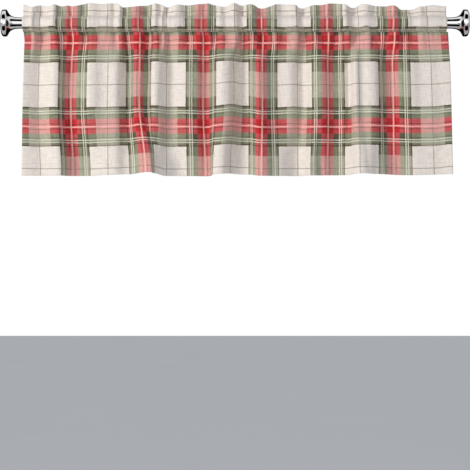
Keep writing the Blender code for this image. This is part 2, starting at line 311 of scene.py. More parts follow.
HEM_RISE = [
    Edge(0, 0), Edge(210, 0), Edge(265, 1.5), Edge(320, 3.5), Edge(369, 8), Edge(419, 6),
    Edge(475, 0), Edge(580, -1), Edge(630, 3), Edge(686, 5), Edge(742, 3), Edge(792, -1),
    Edge(950, 0), Edge(1052, 1.5), Edge(1108, 5), Edge(1164, 4), Edge(1263, 1.5), Edge(1372, 4),
]


class Crease(NamedTuple):
    """A soft trough or ridge in the cloth, in mm: across, from one level down to another.

    Its width is from edge to edge, depth is how far in it goes (a ridge is negative), and
    its foot is as much to the right of its top as slant says. Blunt says how it ends.
    """

    across: float
    top: float
    foot: float
    slant: float
    width: float
    depth: float
    blunt: float = 0.75


CREASES = [
    Crease(30, 44, -6, 12, 9, 3.0), Crease(41, 40, 8, 6, 9, -2.0),
    Crease(47, -8, -48, 8, 10, 2.2), Crease(147, 48, 4, 14, 10, 2.0),
    Crease(196, 44, 2, -14, 10, 1.6), Crease(322, 48, 6, 12, 10, 2.2),
    Crease(334, 46, -4, 18, 9, -1.8), Crease(351, -10, -80, 22, 11, 2.0),
    Crease(374, -20, -120, 24, 12, -2.2), Crease(392, -60, -200, 16, 12, 2.4),
    Crease(448, 50, 12, 20, 10, 2.6), Crease(468, 30, -16, -16, 9, 2.8),
    Crease(480, 36, -2, -6, 9, -1.8), Crease(463, -16, -80, 8, 12, 2.4),
    Crease(560, 46, 10, -10, 10, 1.8), Crease(622, 46, 8, 10, 10, 2.2),
    Crease(650, 40, 0, 16, 10, 1.8), Crease(700, -50, -120, -22, 12, 2.6),
    Crease(716, -40, -110, -18, 11, -1.8), Crease(712, 44, 4, 12, 9, 2.4),
    Crease(760, 48, 10, -12, 10, 1.8), Crease(820, 40, 0, 12, 10, 2.0),
    Crease(868, -12, -60, 10, 12, 1.8), Crease(906, 44, 2, 16, 9, 2.4),
    Crease(966, 42, 6, -12, 10, 1.8), Crease(985, -16, -76, 10, 11, 2.0),
    Crease(1062, 44, 2, 14, 9, 2.2), Crease(1090, 44, 10, -12, 10, 1.6),
    Crease(1150, -20, -90, -10, 12, 2.0), Crease(1182, 44, 4, 12, 10, 2.0),
    Crease(1246, 38, 0, -14, 10, 2.4), Crease(1262, 34, 2, 10, 9, -1.6),
    Crease(1300, -14, -60, 8, 12, 1.4), Crease(1310, 40, 12, 14, 10, 1.4),
    Crease(70, -250, -380, 4, 12, 1.6), Crease(432, -230, -384, 10, 10, 2.6),
    Crease(455, -120, -260, -12, 12, 1.8), Crease(690, -280, -384, 8, 12, 1.8),
    Crease(970, -240, -384, 4, 10, 2.4), Crease(984, -250, -384, 6, 10, -1.8),
    Crease(1120, -200, -384, 12, 14, 1.8), Crease(1190, -90, -230, 4, 11, 1.8),
]


class Lift(NamedTuple):
    """How far the print rides up at a place across, in mm, half way down and at the hem."""

    across: float
    middle: float
    hem: float


PRINT_LIFT = [
    Lift(0, 1, 1), Lift(53, 0, 0), Lift(158, 0, 0), Lift(208, -1, 0), Lift(264, 0, 1),
    Lift(320, 2, 3), Lift(369, 2, 8), Lift(419, 3, 6), Lift(475, 2, 0), Lift(580, 0, 0),
    Lift(630, 3, 3), Lift(686, 8, 5), Lift(742, 4, 3), Lift(792, -3, -1), Lift(841, 0, 0),
    Lift(897, 2, 1), Lift(953, -1, 0), Lift(1052, 0, 1), Lift(1108, 3, 4), Lift(1164, 3, 4),
    Lift(1214, 4, 3), Lift(1263, 1, 1), Lift(1319, 2, 2), Lift(1372, 6, 6),
]


def eased(rows: Sequence[float], heights: Sequence[float], at: np.ndarray) -> np.ndarray:
    """Carries values given at rows across the cloth smoothly from each row to the next.

    Args:
        rows: The places across.
        heights: The value at each.
        at: Where the values are wanted.

    Returns:
        The values there.
    """
    rows, heights = np.asarray(rows, float), np.asarray(heights, float)
    before = np.clip(np.searchsorted(rows, at, side="right") - 1, 0, len(rows) - 2)
    share = np.clip((at - rows[before]) / (rows[before + 1] - rows[before]), 0.0, 1.0)
    share = share * share * (3.0 - 2.0 * share)
    return heights[before] * (1.0 - share) + heights[before + 1] * share


def carried(rows: Sequence[NamedTuple], across: np.ndarray, column: int = 1) -> np.ndarray:
    """A column of one of the cloth's tables, carried smoothly between its rows.

    Args:
        rows: The table, in mm, with places across the flat cloth first.
        across: Where the column is wanted, in metres.
        column: Its number.

    Returns:
        Its values there, in metres.
    """
    table = np.array(rows) * MM
    return eased(table[:, 0], table[:, column], across)


def smooth_share(value: float, low: float, high: float) -> float:
    """How far a value is from low to high, from 0 to 1, with soft ends."""
    share = min(max((value - low) / (high - low), 0.0), 1.0)
    return share * share * (3.0 - 2.0 * share)


def uneven_wave(at: np.ndarray, length: float, phase: float) -> np.ndarray:
    """A wave whose spacing and height both wander, as puckers do along a seam.

    Args:
        at: Places across, in mm.
        length: Its usual spacing, in mm.
        phase: A shift that makes one wave unlike another.

    Returns:
        Its height, from about -1 to 1.
    """
    turn = 2.0 * math.pi / length
    wander = 1.7 * np.sin(at * turn / 5.3 + phase) + 1.1 * np.sin(at * turn / 2.7 + 2.1 * phase)
    swell = 0.65 + 0.35 * np.sin(at * turn / 4.1 + 3.3 * phase)
    return swell * np.sin(at * turn + wander)


class Gather(NamedTuple):
    """Uneven small gathers, in mm: their depth, spacing, shift along, and reach from a seam."""

    depth: float
    spacing: float
    shift: float
    reach: float = 1.0

    def wave(self, across: np.ndarray) -> np.ndarray:
        """How far they stand out at places across the flat cloth, in metres."""
        return self.depth * uneven_wave(across / MM, self.spacing, self.shift) * MM


# What the seams draw up in the cloth, and how the pocket's gathers pull the print up and down.
BELOW_POCKET = (Gather(2.2, 13.0, 0.4, 15.0), Gather(1.2, 25.0, 1.9, 34.0))
ABOVE_POCKET = (Gather(0.9, 13.0, 2.6, 12.0),)
ALONG_HEM = (Gather(0.3, 13.0, 5.2, 7.0),)
ROUND_POCKET = Gather(0.5, 17.0, 3.1)
PRINT_PULL = (Gather(1.7, 74.0, 0.9), Gather(0.9, 31.0, 4.4))


# ---------------------------------------------------------------- the cloth


class Line(NamedTuple):
    """A line of the cloth's points, and how far down the print each of them is."""

    points: np.ndarray
    printed: np.ndarray


@dataclass
class Cloth:
    """The valance's one sheet of cloth, from its hem up over the rod and down behind it.

    Attributes are in metres, but for pocket_ease, pocket_fullness and mid_drop, which are
    shares, pocket_foot, which is in radians, columns, which is a count, and turn_a_radius,
    which is the degrees in which the heading's print moves on by one radius.
    """

    width: float = 1.372
    thickness: float = 0.0007
    hem_level: float = -0.3838
    hem_depth: float = 0.030
    hem_tuck: float = 0.009
    hem_gap: float = 0.0020
    tuck_gap: float = 0.00091
    fold_gap: float = 0.00104
    fold_rise: float = 0.0006
    seam_level: float = -0.0225
    stitch_level: float = 0.0180
    pocket_reach: float = 0.0178
    pocket_ease: float = 0.6
    pocket_fullness: float = 1.15
    pocket_foot: float = 0.45
    rod_clearance: float = 0.0150
    seam_tail: float = 0.004
    tail_spread: float = 0.006
    heading_gap: float = 0.0028
    sewn_gap: float = 0.0013
    drop_top: float = -0.110
    drop_low: float = -0.200
    mid_drop: float = 0.4
    close_lines_from: float = -0.075
    heading_wander: float = 0.160
    drop_wander: float = 0.330
    hem_wander: float = 0.400
    grid_step: float = 0.002
    columns: int = 400
    print_at_seam: float = 0.0781
    print_at_stitch: float = 0.0114
    print_at_top: float = -0.0158
    turn_a_radius: float = 60.0

    @property
    def hem_row(self) -> float:
        """The level that the hem is sewn at."""
        return self.hem_level + self.hem_depth

    @property
    def across(self) -> np.ndarray:
        """The places across the flat cloth that its points are at."""
        return np.linspace(0.0, self.width, self.columns + 1)

    def shares_at(self, level: float) -> tuple[float, float, float]:
        """How much of the heading's, the drop's and the hem's folds there is at a level."""
        if level >= self.drop_top:
            rise = smooth_share(level, self.drop_top, self.seam_level)
            return rise, 1.0 - rise, 0.0
        fall = 1.0 - smooth_share(level, self.hem_level, self.drop_low)
        return 0.0, 1.0 - fall, fall

    def without_wander(self, depth: np.ndarray, wander: float) -> np.ndarray:
        """The depth of the folds with their slow wander to front and back taken out.

        Args:
            depth: The depth at each step of the flat width.
            wander: The width over which the rod keeps the gathers in line.

        Returns:
            The depth, without it.
        """
        reach = int(wander / self.grid_step / 2)
        before = 2.0 * depth[0] - depth[reach:0:-1]
        after = 2.0 * depth[-1] - depth[-2 : -reach - 2 : -1]
        window = np.hanning(2 * reach + 3)[1:-1]
        padded = np.concatenate([before, depth, after])
        return depth - np.convolve(padded, window / window.sum(), "valid")

    def added_up(
        self, grid: np.ndarray, folds: Sequence[Lean], wander: float
    ) -> tuple[np.ndarray, np.ndarray]:
        """Adds up the cloth's lean along its flat width, because cloth doesn't stretch.

        Args:
            grid: Places across the flat cloth.
            folds: The lean at places across.
            wander: The width over which the rod keeps the gathers in line.

        Returns:
            How far along each place is, from 0 to 1, and its depth in metres.
        """
        table = np.array(folds)
        lean = np.radians(eased(table[:, 0] * MM, table[:, 1], grid))
        middle = (lean[1:] + lean[:-1]) / 2.0
        step = grid[1] - grid[0]
        along = np.concatenate([[0.0], np.cumsum(np.cos(middle))])
        depth = np.concatenate([[0.0], -np.cumsum(np.sin(middle)) * step])
        return along / along[-1], self.without_wander(depth, wander)

    def folded_line(self, level: float, across: np.ndarray) -> tuple[np.ndarray, ...]:
        """Where the places across the cloth hang at a level.

        Args:
            level: The height.
            across: Places across the flat cloth.

        Returns:
            x, y and the lean in radians.
        """
        count = int(round(self.width / self.grid_step)) + 1
        grid = np.linspace(0.0, self.width, count)
        along, depth = np.zeros(count), np.zeros(count)
        columns = (
            (HEADING_FOLDS, self.heading_wander),
            (DROP_FOLDS, self.drop_wander),
            (HEM_FOLDS, self.hem_wander),
        )
        for share, (folds, wander) in zip(self.shares_at(level), columns):
            if share > 0.0:
                run, sway = self.added_up(grid, folds, wander)
                along, depth = along + share * run, depth + share * sway
        sides = np.array(SIDES) * MM
        left, right = (np.interp(level, sides[:, 0], sides[:, column]) for column in (1, 2))
        along = left + (right - left) * along
        lean = -np.arctan2(np.gradient(depth), np.gradient(along))
        return tuple(np.interp(across, grid, values) for values in (along, depth, lean))

    def relief(self, across: np.ndarray, heights: np.ndarray) -> np.ndarray:
        """How far small creases and puckers bring the cloth forward, for each point.

        Args:
            across: Places across the flat cloth.
            heights: The height of each.

        Returns:
            The distance forward, in metres.
        """
        raised = np.zeros_like(across)
        for gathers, away in (
            (BELOW_POCKET, self.seam_level - heights),
            (ABOVE_POCKET, heights - self.stitch_level),
            (ALONG_HEM, np.abs(heights - self.hem_row)),
        ):
            for gather in gathers:
                fading = np.exp(-np.maximum(away, 0.0) / (gather.reach * MM))
                raised += gather.wave(across) * fading * (away >= -TOUCH)
        for crease in CREASES:
            share = (crease.top - heights / MM) / (crease.top - crease.foot)
            inside = np.clip(1.0 - (2.0 * share - 1.0) ** 2, 0.0, 1.0) ** crease.blunt
            middle = crease.across + crease.slant * share
            off = (across / MM - middle) / (crease.width / 2.0)
            raised -= crease.depth * MM * inside * np.exp(-off * off)
        return raised

    def layer(
        self, level: float, heights: np.ndarray, across: np.ndarray, behind: float = 0.0
    ) -> np.ndarray:
        """One line of points across the cloth.

        Args:
            level: The height whose folds it has.
            heights: The height of each point.
            across: Places across the flat cloth.
            behind: How far it is set back from the front layer.

        Returns:
            The points, one row each.
        """
        x, y, lean = self.folded_line(level, across)
        back = behind - self.relief(across, heights)
        return np.column_stack([x + back * np.sin(lean), y + back * np.cos(lean), heights])

    def round_the_rod(
        self, start: np.ndarray, across: np.ndarray, side: int, angle: float
    ) -> np.ndarray:
        """The pocket's cloth, part of the way from the upper stitching to the lower seam.

        Args:
            start: The cloth's points at the upper stitching.
            across: Places across the flat cloth.
            side: -1 in front of the rod, 1 behind it.
            angle: How far round, in radians.

        Returns:
            The points at that angle.
        """
        ruffle = start[:, 1]
        slack = ruffle.min() if side > 0 else ruffle.max()
        nearest = side * self.pocket_reach + self.pocket_ease * (ruffle - slack)
        bulge = math.sin(angle) ** self.pocket_fullness
        middle = (self.stitch_level + self.seam_level) / 2.0
        half = (self.stitch_level - self.seam_level) / 2.0
        low = math.exp(-(math.pi - angle) / self.pocket_foot)
        crease = low * BELOW_POCKET[0].wave(across) + ROUND_POCKET.wave(across)
        line = start.copy()
        line[:, 1] = ruffle + (nearest - ruffle) * bulge + side * crease * math.sin(angle)
        line[:, 2] = middle + half * math.cos(angle) + crease * math.cos(angle) * 0.5
        radius = np.hypot(line[:, 1], line[:, 2])
        line[:, 1:] *= (np.maximum(radius, self.rod_clearance) / radius)[:, None]
        return line

    def hem_lines(self, hem: np.ndarray, across: np.ndarray) -> Iterator[Line]:
        """The hem behind the cloth, from its tucked-in edge down and round its fold.

        Args:
            hem: The hem's height at each place across.
            across: Places across the flat cloth.

        Yields:
            Each line.
        """
        printed = self.print_at_seam + self.seam_level - hem + carried(PRINT_LIFT, across, 2)
        sewn = hem + self.hem_depth
        for share in (0.0, 0.45, 0.9):
            under = self.hem_tuck * (1.0 - share)
            line = self.layer(self.hem_row - under, sewn - under, across, self.tuck_gap)
            yield Line(line, printed + self.hem_depth + under)
        line = self.layer(self.hem_row, sewn + self.fold_rise, across, self.fold_gap)
        yield Line(line, printed + self.hem_depth)
        for share in (1.0, 0.92, 0.7, 0.45, 0.2, 0.06):
            rise = self.hem_depth * share
            gap = self.hem_gap + (self.sewn_gap - self.hem_gap) * share**4
            yield Line(self.layer(self.hem_level + rise, hem + rise, across, gap), printed + rise)
        radius = self.hem_gap / 2.0
        for turn in (150, 105, 60, 20):
            angle = math.radians(turn)
            behind = radius - radius * math.cos(angle)
            height = hem + radius - radius * math.sin(angle)
            yield Line(self.layer(self.hem_level, height, across, behind), printed)

    def drop_lines(self, hem: np.ndarray, across: np.ndarray) -> Iterator[Line]:
        """The front of the cloth, from the hem up to the pocket's lower seam.

        Args:
            hem: The hem's height at each place across.
            across: Places across the flat cloth.

        Yields:
            Each line.
        """
        middle, foot = (carried(PRINT_LIFT, across, column) for column in (1, 2))
        low = self.hem_level
        for high, count in (
            (self.hem_row, 5), (self.close_lines_from, 33), (self.seam_level, 15)
        ):
            for level in np.linspace(low, high, count + 1)[1:]:
                share = (self.seam_level - level) / (self.seam_level - self.hem_level)
                height = self.seam_level + share * (hem - self.seam_level)
                past = max(share - self.mid_drop, 0.0) / (1.0 - self.mid_drop)
                lift = middle * min(share / self.mid_drop, 1.0) + (foot - middle) * past
                printed = self.print_at_seam + self.seam_level - height + lift
                yield Line(self.layer(level, height, across), printed)
            low = high

    def pocket_lines(self, side: int, across: np.ndarray) -> Iterator[Line]:
        """The pocket on one side of the rod, from its upper stitching to its lower seam.

        Args:
            side: -1 in front of the rod, 1 behind it.
            across: Places across the flat cloth.

        Yields:
            Each line.
        """
        even = np.ones_like(across)
        level = self.stitch_level
        behind = self.sewn_gap if side > 0 else 0.0
        start = self.layer(level, level * even, across, behind)
        pocket_print = self.print_at_seam - self.print_at_stitch
        if side < 0:
            first, pull = self.print_at_stitch, sum(gather.wave(across) for gather in PRINT_PULL)
            turns = range(9, 180, 9)
        else:
            first, pull = 2.0 * self.print_at_top - self.print_at_stitch, 0.0 * even
            turns = range(15, 180, 15)
        yield Line(start, first * even)
        for turn in turns:
            angle = math.radians(turn)
            printed = first - side * pocket_print * self.arc_share(angle)
            line = self.round_the_rod(start, across, side, angle)
            yield Line(line, printed * even + math.sin(angle) * pull)

    def heading_lines(self, across: np.ndarray) -> Iterator[Line]:
        """The ruffled heading above the pocket, up the front, over and down behind.

        Args:
            across: Places across the flat cloth.

        Yields:
            Each line.
        """
        top = carried(HEADING_EDGE, across)
        even = np.ones_like(across)
        level, length = self.stitch_level, self.print_at_top - self.print_at_stitch
        for share in (0.1, 0.22, 0.36, 0.5, 0.64, 0.78, 0.9, 0.97):
            line = self.layer(level, level + share * (top - level), across)
            yield Line(line, (self.print_at_stitch + length * share) * even)
        radius = self.heading_gap / 2.0
        for turn in (30, 75, 120, 165):
            angle = math.radians(turn)
            behind = radius - radius * math.cos(angle)
            line = self.layer(level, top - radius + radius * math.sin(angle), across, behind)
            yield Line(line, (self.print_at_top - radius * turn / self.turn_a_radius) * even)
        for share in (0.9, 0.7, 0.5, 0.3, 0.12):
            closing = math.sin(math.pi / 2 * share)
            gap = self.sewn_gap + (self.heading_gap - self.sewn_gap) * closing
            line = self.layer(level, level + share * (top - level), across, gap)
            yield Line(line, (self.print_at_top + length * (1.0 - share)) * even)

    def tail_lines(self, across: np.ndarray) -> Iterator[Line]:
        """The cloth's other end, sewn down behind the pocket's lower seam.

        Args:
            across: Places across the flat cloth.

        Yields:
            Each line.
        """
        even = np.ones_like(across)
        end = 2.0 * self.print_at_top - self.print_at_seam
        for drop in (0.0, 0.0015, 0.0032, self.seam_tail):
            gap = self.sewn_gap * (1.0 + drop / self.tail_spread)
            line = self.layer(self.seam_level, (self.seam_level - drop) * even, across, gap)
            yield Line(line, (end - drop) * even)

    def lines(self) -> list[Line]:
        """All the cloth's lines, from the hem's inner edge to the end behind the pocket."""
        across = self.across
        hem = self.hem_level + carried(HEM_RISE, across)
        return [
            *self.hem_lines(hem, across),
            *self.drop_lines(hem, across),
            *reversed(list(self.pocket_lines(-1, across))),
            *self.heading_lines(across),
            *self.pocket_lines(1, across),
            *self.tail_lines(across),
        ]

    def arc_share(self, angle: float) -> float:
        """How much of the pocket's cloth lies between the upper stitching and an angle."""
        angles = np.linspace(0.0, math.pi, 181)
        depth = self.pocket_reach * np.sin(angles) ** self.pocket_fullness
        height = (self.stitch_level - self.seam_level) / 2.0 * np.cos(angles)
        steps = np.hypot(np.diff(depth), np.diff(height))
        total = np.concatenate([[0.0], np.cumsum(steps)])
        return float(np.interp(angle, angles, total / total[-1]))

    def build(self, finishes: Sequence[bpy.types.Material]) -> tuple[bpy.types.Object, float]:
        """Makes the sheet as a grid with its print's coordinates, and gives it its thickness.

        Args:
            finishes: The printed side's material and the reverse's.

        Returns:
            The piece, and the length that it was cut to.
        """
        across, lines = self.across, self.lines()
        shape = bmesh.new()
        grid = [[shape.verts.new(point) for point in line.points] for line in lines]
        uv = shape.loops.layers.uv.new("cloth")
        for i in range(len(grid) - 1):
            for j in range(self.columns):
                corners = ((i, j), (i, j + 1), (i + 1, j + 1), (i + 1, j))
                face = shape.faces.new([grid[a][b] for a, b in corners])
                for loop, (a, b) in zip(face.loops, corners):
                    loop[uv].uv = (across[b], lines[a].printed[b])
        piece = piece_from(shape, "valance_cloth", finishes)
        body = piece.modifiers.new("cloth thickness", "SOLIDIFY")
        body.thickness = self.thickness
        body.offset = 0.0
        body.material_offset = 1
        apply_modifiers(piece)
        return piece, float(lines[0].printed.mean() - lines[-1].printed.mean())


@dataclass
class Stitching:
    """The sewing machine's lockstitches on the cloth's face, in metres.

    The profile gives places along a stitch, and how many radii its middle is raised there.
    """

    cloth: Cloth
    length: float = 0.0030
    pitch: float = 0.0037
    radius: float = 0.00021
    inset: float = 0.0030
    sides: int = 6
    profile: tuple = ((0.0, -1.0), (0.15, 0.3), (0.5, 0.7), (0.85, 0.3), (1.0, -1.0))

    def face(self, level: float) -> np.ndarray:
        """The points that the cloth's face follows at the level that a seam is sewn at."""
        cloth, across = self.cloth, self.cloth.across
        below = max(cloth.seam_level - level, 0.0) / (cloth.seam_level - cloth.hem_level)
        return cloth.layer(level, level + below * carried(HEM_RISE, across), across)

    def row(self, shape: bmesh.types.BMesh, level: float) -> None:
        """Adds a row of stitches: short threads that dip into the cloth at both ends.

        Args:
            shape: The mesh to add to.
            level: The height that it is sewn at.
        """
        across, line = self.cloth.across, self.face(level)
        run = np.gradient(line, axis=0)
        outward = np.column_stack([run[:, 1], -run[:, 0], np.zeros(len(run))])
        outward /= np.linalg.norm(outward, axis=1)[:, None]
        turns = math.tau * np.arange(self.sides) / self.sides
        round_it = np.column_stack([np.cos(turns), np.sin(turns)]) * self.radius
        last = self.cloth.width - self.inset - self.length
        for start in np.arange(self.inset, last, self.pitch):
            rings = []
            for share, raised in self.profile:
                at = start + share * self.length
                point, facing = (
                    np.array([np.interp(at, across, values[:, axis]) for axis in range(3)])
                    for values in (line, outward)
                )
                out = self.cloth.thickness / 2.0 + raised * self.radius
                corners = point + (out + round_it[:, :1]) * facing
                corners[:, 2] += round_it[:, 1]
                rings.append([shape.verts.new(corner) for corner in corners])
            for ring, following in zip(rings, rings[1:]):
                for a in range(self.sides):
                    b = (a + 1) % self.sides
                    shape.faces.new([ring[a], ring[b], following[b], following[a]])
            shape.faces.new(rings[0])
            shape.faces.new(rings[-1])

    def build(self, finish: bpy.types.Material) -> bpy.types.Object:
        """Makes the rows above and below the pocket and along the hem, as one piece.

        Args:
            finish: The thread's material.

        Returns:
            The piece.
        """
        shape = bmesh.new()
        for level in (self.cloth.stitch_level, self.cloth.seam_level, self.cloth.hem_row):
            self.row(shape, level)
        bmesh.ops.recalc_face_normals(shape, faces=shape.faces)
        return piece_from(shape, "seam_stitching", [finish])


# ---------------------------------------------------------------- finishes


class Side(Enum):
    """Which side of the printed cloth a material is for."""

    PRINTED = "printed"
    REVERSE = "reverse"


class Stripe(NamedTuple):
    """A stripe of the plaid, by where it starts and ends from the middle of the red band.

    Both are in mm. Strength is how much it covers, and soft is how wide its edges fade.
    """

    start: float
    end: float
    strength: float = 1.0
    soft: float = 0.7


# The plaid's stripes are the same across the cloth and down it.
PLAID = {
    "strong": [Stripe(-73.5, 73.5)],
    "green": [Stripe(-49.7, 49.7)],
    "edge": [Stripe(-49.7, -42.6, soft=1.2), Stripe(42.6, 49.7, soft=1.2)],
    "red": [Stripe(-19.4, 17.0, soft=3.6)],
    "thin": [Stripe(-106.4, -104.7, 1.0), Stripe(104.7, 106.4, 1.0)],
    "dark": [
        Stripe(-48.9, -46.7, 0.95), Stripe(-29.9, -28.6, 0.6), Stripe(-7.8, -6.2, 0.85),
        Stripe(5.1, 6.7, 0.85), Stripe(27.5, 29.0, 0.8), Stripe(47.0, 49.0, 0.95),
    ],
    "white": [
        Stripe(-41.0, -38.8, 0.9), Stripe(-34.8, -32.7, 0.95),
        Stripe(32.1, 34.2, 0.95), Stripe(38.1, 40.3, 0.9),
    ],
    "centre": [Stripe(-1.9, 1.7)],
}


class Tones(NamedTuple):
    """A paint's colours where it is weak, where it is strong and where it crosses itself."""

    weak: str
    strong: str
    crossed: str


@dataclass(frozen=True)
class PrintedCotton:
    """Plain-woven cotton and linen blend, printed on one side with a painted plaid.

    The plaid repeats every 211 mm both ways, and start_across and start_down are where its
    first red bands have their middles. A brush's wobble moves its edges. Fading is how much
    of the reverse's plain colour covers the print that shows through.
    """

    repeat: float = 0.2111
    start_across: float = 0.1583
    start_down: float = 0.1056
    wobble: float = 0.0022
    thread_pitch: float = 0.0011
    crossed_cover: float = 0.92
    thin_cover: float = 0.9
    fading: float = 0.78
    ground: str = "ECE4DB"
    reverse: str = "DDD5CB"
    green: Tones = Tones("A5A78F", "7A7E62", "585B42")
    edge: Tones = Tones("ABA796", "7C7863", "5A5742")
    red: Tones = Tones("E3A29D", "D2565B", "CE2830")
    dark: Tones = Tones("857D6E", "433D2E", "3A3528")
    thin: str = "857D72"
    white: str = "E6E8D6"
    centre: str = "FBBDB5"

    def material(self, side: Side) -> bpy.types.Material:
        """Makes the material of one side.

        Args:
            side: Which side.

        Returns:
            The material.
        """
        made, tree, shader = new_material(f"cotton_linen_{side.value}")
        place = add_node(tree, "ShaderNodeUVMap", uv_map="cloth").outputs["UV"]
        parts = add_node(tree, "ShaderNodeSeparateXYZ", {0: place}).outputs
        brush = {"Vector": place, "Scale": 90.0, "Detail": 2.0}
        wobble = add_node(tree, "ShaderNodeTexNoise", brush).outputs["Color"]
        wobbles = add_node(tree, "ShaderNodeSeparateColor", {0: wobble}).outputs
        masks = []
        for number, start in ((0, self.start_across), (1, self.start_down)):
            moved = {0: wobbles[number], 1: self.wobble, 2: parts[number]}
            share = add_node(tree, "ShaderNodeMath", moved, operation="MULTIPLY_ADD")
            for operation, value in (
                ("SUBTRACT", start - self.repeat / 2 + self.wobble / 2),
                ("DIVIDE", self.repeat),
                ("FLOORED_MODULO", 1.0),
            ):
                share = add_node(tree, "ShaderNodeMath", {0: share, 1: value}, operation=operation)
            masks.append(self.stripes(tree, share))
        colour = self.painted(tree, masks, place)
        if side is Side.REVERSE:
            plain = {"Factor": self.fading, 6: colour, 7: linear(self.reverse)}
            colour = add_node(tree, "ShaderNodeMix", plain, data_type="RGBA").outputs[2]
        weave, relief = self.weave(tree, place)
        woven = {"Factor": 1.0, 6: colour, 7: weave}
        toned = add_node(tree, "ShaderNodeMix", woven, data_type="RGBA", blend_type="MULTIPLY")
        height = {"Strength": 0.35, "Distance": 0.0004, "Height": relief}
        bump = add_node(tree, "ShaderNodeBump", height)
        tree.links.new(toned.outputs[2], shader.inputs["Base Color"])
        tree.links.new(bump.outputs["Normal"], shader.inputs["Normal"])
        shader.inputs["Roughness"].default_value = 0.9
        shader.inputs["Specular IOR Level"].default_value = 0.2
        shader.inputs["Sheen Weight"].default_value = 0.08
        shader.inputs["Sheen Roughness"].default_value = 0.5
        return made

    def stripes(
        self, tree: bpy.types.NodeTree, share: bpy.types.Node
    ) -> dict[str, bpy.types.Node]:
        """One ramp over a repeat for each kind of stripe, which says where it is.

        Args:
            tree: The material's node tree.
            share: The place in the repeat, from 0 to 1, with the red band's middle at 0.5.

        Returns:
            The masks, by the names in PLAID.
        """
        found = {}
        for name, stripes in PLAID.items():
            stops = []
            for stripe in stripes:
                reach = stripe.soft / 2.0
                stops += [(stripe.start - reach, 0.0), (stripe.start + reach, stripe.strength)]
                stops += [(stripe.end - reach, stripe.strength), (stripe.end + reach, 0.0)]
            stops = [stop for stop in stops if abs(stop[0] * MM) < self.repeat / 2]
            ramp = add_node(tree, "ShaderNodeValToRGB", {"Fac": share})
            elements = ramp.color_ramp.elements
            while len(elements) < len(stops):
                elements.new(1.0)
            for element, (at, strength) in zip(elements, stops):
                element.position = min(max(at * MM / self.repeat + 0.5, 0.0), 1.0)
                element.color = (strength, strength, strength, 1.0)
            found[name] = ramp
        return found

    def painted(
        self,
        tree: bpy.types.NodeTree,
        masks: Sequence[dict[str, bpy.types.Node]],
        place: bpy.types.NodeSocket,
    ) -> bpy.types.NodeSocket:
        """The plaid's colours, laid over each other as washes of paint.

        Args:
            tree: The material's node tree.
            masks: The stripes' masks, across and down.
            place: The cloth's coordinates.

        Returns:
            The colour.
        """
        wash = {"Vector": place, "Scale": 38.0, "Detail": 3.0, "Roughness": 0.6}
        cover = {"From Min": 0.3, "From Max": 0.7, "To Min": 0.84, "To Max": 1.0}
        cover["Value"] = add_node(tree, "ShaderNodeTexNoise", wash)
        uneven = add_node(tree, "ShaderNodeMapRange", cover)

        def lay(under: object, over: object, amounts: Sequence[object]) -> bpy.types.NodeSocket:
            """Mixes a colour over another by the product of some amounts."""
            amount = amounts[0]
            for further in amounts[1:]:
                both = {0: amount, 1: further}
                amount = add_node(tree, "ShaderNodeMath", both, operation="MULTIPLY")
            mixed = {0: amount, 6: under, 7: over}
            return add_node(tree, "ShaderNodeMix", mixed, data_type="RGBA").outputs[2]

        colour: object = linear(self.ground)
        one, other = masks
        for name in ("green", "edge", "red", "dark"):
            tones: Tones = getattr(self, name)
            for along, crossing in ((one, other), (other, one)):
                tint = lay(linear(tones.weak), linear(tones.strong), [crossing["strong"]])
                colour = lay(colour, tint, [along[name], uneven])
            crossed = [one[name], other[name], self.crossed_cover]
            colour = lay(colour, linear(tones.crossed), crossed)
            if name == "red":
                for mask in masks:
                    colour = lay(colour, linear(self.thin), [mask["thin"], self.thin_cover])
        for name, tone in (("white", self.white), ("centre", self.centre)):
            for mask in masks:
                colour = lay(colour, linear(tone), [mask[name], uneven])
        return colour

    def weave(
        self, tree: bpy.types.NodeTree, place: bpy.types.NodeSocket
    ) -> tuple[bpy.types.Node, bpy.types.Node]:
        """Slubs and threads of the plain weave.

        The threads are 0.5 mm apart, too fine to show, so they are drawn twice as far apart.

        Args:
            tree: The material's node tree.
            place: The cloth's coordinates.

        Returns:
            The tone that multiplies the colour, and the height for the bump.
        """
        parts = add_node(tree, "ShaderNodeSeparateXYZ", {0: place}).outputs
        streaks, waves = [], []
        for scale, part in zip(((420.0, 40.0, 1.0), (40.0, 420.0, 1.0)), parts):
            run = add_node(tree, "ShaderNodeMapping", {"Vector": place, "Scale": scale})
            slubs = {"Vector": run, "Scale": 1.0, "Detail": 2.0, "Roughness": 0.55}
            streaks.append(add_node(tree, "ShaderNodeTexNoise", slubs))
            thread = {0: part, 1: math.tau / self.thread_pitch}
            turned = add_node(tree, "ShaderNodeMath", thread, operation="MULTIPLY")
            waves.append(add_node(tree, "ShaderNodeMath", {0: turned}, operation="SINE"))
        both = add_node(tree, "ShaderNodeMath", dict(enumerate(streaks)), operation="ADD")
        cover = {"From Min": 0.7, "From Max": 1.3, "To Min": 0.86, "To Max": 1.11}
        tone = add_node(tree, "ShaderNodeMapRange", {"Value": both, **cover})
        tone = add_node(tree, "ShaderNodeCombineColor", {0: tone, 1: tone, 2: tone})
        woven = add_node(tree, "ShaderNodeMath", dict(enumerate(waves)), operation="MULTIPLY")
        height = {0: woven, 1: 0.35, 2: both}
        return tone, add_node(tree, "ShaderNodeMath", height, operation="MULTIPLY_ADD")


